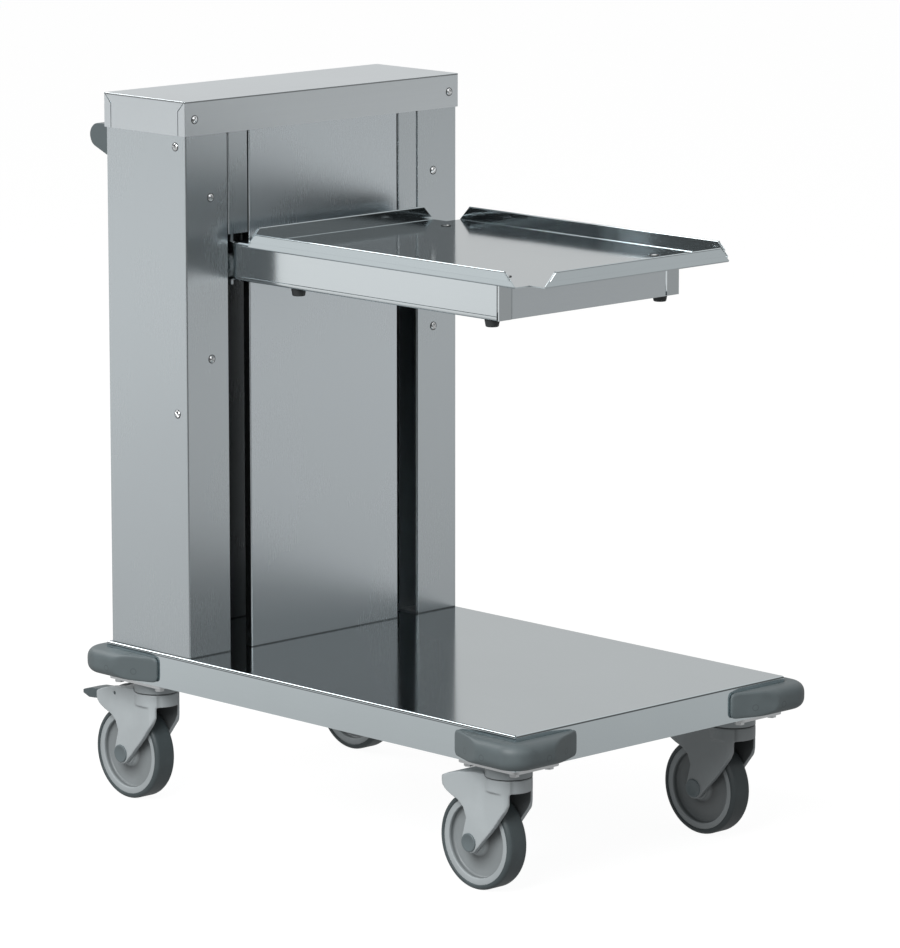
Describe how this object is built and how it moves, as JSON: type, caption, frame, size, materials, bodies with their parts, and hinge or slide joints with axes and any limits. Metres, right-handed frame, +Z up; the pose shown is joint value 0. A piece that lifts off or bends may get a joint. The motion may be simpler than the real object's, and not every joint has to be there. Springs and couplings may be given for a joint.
{
  "type": "self-leveling tray dispenser cart",
  "caption": "Self-leveling tray dispenser cart: sprung cantilevered tray platform on a steel column, flat deck, corner bumpers, push handle and swivel casters.",
  "frame": {"origin": "on the floor under the middle of the cart's bounding box", "axes": "+Z up, -Y towards the loading side, +Y towards the push handle, +X to the right when facing the column"},
  "size_m": [0.544, 0.879, 0.947],
  "materials": {
    "stainless_steel": "fine brushed stainless sheet",
    "polished_steel": "bright rolled stainless sheet",
    "zinc_steel": "zinc-plated steel",
    "bright_steel": "plain bright steel",
    "grey_rubber": "satin moulded rubber",
    "black_rubber": "matt",
    "tyre_rubber": "satin",
    "pale_plastic": "fine-grained moulded plastic",
    "rim_plastic": "moulded plastic",
    "cap_plastic": "satin",
    "handle_plastic": "satin",
    "pedal_plastic": "satin",
    "roller_plastic": "machined white plastic"
  },
  "bodies": {
    "frame": {"base_deck": "polished_steel", "deck_skirt_left": "polished_steel", "deck_skirt_right": "polished_steel", "deck_skirt_front": "polished_steel", "deck_skirt_rear": "polished_steel", "deck_crossmember_front": "zinc_steel", "deck_crossmember_rear": "zinc_steel", "crossmember_flanges_front": "zinc_steel", "crossmember_flanges_rear": "zinc_steel", "deck_rib": "zinc_steel", "bumper_front_left": "grey_rubber", "bumper_front_right": "grey_rubber", "bumper_rear_left": "grey_rubber", "bumper_rear_right": "grey_rubber", "bumper_screws": "zinc_steel", "caster_plates": "zinc_steel", "caster_bolts": "zinc_steel", "guide_rail_left": "zinc_steel", "guide_rail_right": "zinc_steel", "rail_feet": "zinc_steel", "side_cover_left": "stainless_steel", "side_cover_right": "stainless_steel", "centre_panel": "stainless_steel", "slot_strips": "stainless_steel", "rear_panel": "stainless_steel", "top_bridge": "zinc_steel", "column_cap": "stainless_steel", "spring_hanger": "zinc_steel", "lift_springs": "bright_steel", "stop_buffers": "black_rubber", "cover_screws": "bright_steel", "handle_bracket_left": "handle_plastic", "handle_bracket_right": "handle_plastic", "handle_tube": "handle_plastic"},
    "platform": {"tray_plate": "polished_steel", "arm_left": "stainless_steel", "arm_right": "stainless_steel", "arm_front_panel": "stainless_steel", "carriage_uprights": "zinc_steel", "carriage_crossbars": "zinc_steel", "roller_axles": "bright_steel", "spring_anchor": "zinc_steel", "plate_screws": "bright_steel", "platform_buffers": "black_rubber"},
    "roller_upper_left": {"roller_upper_left": "roller_plastic"},
    "roller_upper_right": {"roller_upper_right": "roller_plastic"},
    "roller_lower_left": {"roller_lower_left": "roller_plastic"},
    "roller_lower_right": {"roller_lower_right": "roller_plastic"},
    "caster_swivel_front_left": {"caster_fork_front_left": "pale_plastic", "caster_axle_front_left": "cap_plastic"},
    "caster_wheel_front_left": {"wheel_rim_front_left": "rim_plastic", "wheel_tyre_front_left": "tyre_rubber"},
    "caster_swivel_front_right": {"caster_fork_front_right": "pale_plastic", "caster_axle_front_right": "cap_plastic"},
    "caster_wheel_front_right": {"wheel_rim_front_right": "rim_plastic", "wheel_tyre_front_right": "tyre_rubber"},
    "caster_swivel_rear_left": {"caster_fork_rear_left": "pale_plastic", "caster_axle_rear_left": "cap_plastic"},
    "caster_wheel_rear_left": {"wheel_rim_rear_left": "rim_plastic", "wheel_tyre_rear_left": "tyre_rubber"},
    "caster_swivel_rear_right": {"caster_fork_rear_right": "pale_plastic", "caster_axle_rear_right": "cap_plastic"},
    "caster_wheel_rear_right": {"wheel_rim_rear_right": "rim_plastic", "wheel_tyre_rear_right": "tyre_rubber"},
    "pedal_left": {"brake_pedal_left": "pedal_plastic"},
    "pedal_right": {"brake_pedal_right": "pedal_plastic"}
  },
  "joints": [
    {"name": "lift", "type": "slide", "parent": "frame", "child": "platform", "axis": [0, 0, 1], "range_m": [-0.4817, 0], "stiffness_N_per_m": 1200, "springref_m": 0.12, "deforming": ["lift_springs"]},
    {"name": "roller_upper_left_spin", "type": "hinge", "parent": "platform", "child": "roller_upper_left", "pos_m": [-0.1805, 0.2128, 0.865], "axis": [1, 0, 0], "continuous": true},
    {"name": "roller_upper_right_spin", "type": "hinge", "parent": "platform", "child": "roller_upper_right", "pos_m": [0.1805, 0.2128, 0.865], "axis": [1, 0, 0], "continuous": true},
    {"name": "roller_lower_left_spin", "type": "hinge", "parent": "platform", "child": "roller_lower_left", "pos_m": [-0.1805, 0.2128, 0.725], "axis": [1, 0, 0], "continuous": true},
    {"name": "roller_lower_right_spin", "type": "hinge", "parent": "platform", "child": "roller_lower_right", "pos_m": [0.1805, 0.2128, 0.725], "axis": [1, 0, 0], "continuous": true},
    {"name": "swivel_front_left", "type": "hinge", "parent": "frame", "child": "caster_swivel_front_left", "pos_m": [-0.203, -0.3585, 0.14], "axis": [0, 0, 1], "continuous": true},
    {"name": "wheel_spin_front_left", "type": "hinge", "parent": "caster_swivel_front_left", "child": "caster_wheel_front_left", "pos_m": [-0.203, -0.3145, 0.0625], "axis": [1, 0, 0], "continuous": true},
    {"name": "swivel_front_right", "type": "hinge", "parent": "frame", "child": "caster_swivel_front_right", "pos_m": [0.203, -0.3585, 0.14], "axis": [0, 0, 1], "continuous": true},
    {"name": "wheel_spin_front_right", "type": "hinge", "parent": "caster_swivel_front_right", "child": "caster_wheel_front_right", "pos_m": [0.203, -0.3145, 0.0625], "axis": [1, 0, 0], "continuous": true},
    {"name": "swivel_rear_left", "type": "hinge", "parent": "frame", "child": "caster_swivel_rear_left", "pos_m": [-0.203, 0.3045, 0.14], "axis": [0, 0, 1], "continuous": true},
    {"name": "wheel_spin_rear_left", "type": "hinge", "parent": "caster_swivel_rear_left", "child": "caster_wheel_rear_left", "pos_m": [-0.203, 0.3485, 0.0625], "axis": [1, 0, 0], "continuous": true},
    {"name": "swivel_rear_right", "type": "hinge", "parent": "frame", "child": "caster_swivel_rear_right", "pos_m": [0.203, 0.3045, 0.14], "axis": [0, 0, 1], "continuous": true},
    {"name": "wheel_spin_rear_right", "type": "hinge", "parent": "caster_swivel_rear_right", "child": "caster_wheel_rear_right", "pos_m": [0.203, 0.3485, 0.0625], "axis": [1, 0, 0], "continuous": true},
    {"name": "brake_left", "type": "hinge", "parent": "caster_swivel_rear_left", "child": "pedal_left", "pos_m": [-0.203, 0.36064, 0.143], "axis": [1, 0, 0], "range_deg": [-12, 0]},
    {"name": "brake_right", "type": "hinge", "parent": "caster_swivel_rear_right", "child": "pedal_right", "pos_m": [0.203, 0.36064, 0.143], "axis": [1, 0, 0], "range_deg": [-12, 0]}
  ],
  "couplings": [
    {"joint": "roller_upper_left_spin", "follows": "lift", "rad_per_m": 66.667},
    {"joint": "roller_upper_right_spin", "follows": "lift", "rad_per_m": 66.667},
    {"joint": "roller_lower_left_spin", "follows": "lift", "rad_per_m": -66.667},
    {"joint": "roller_lower_right_spin", "follows": "lift", "rad_per_m": -66.667}
  ]
}
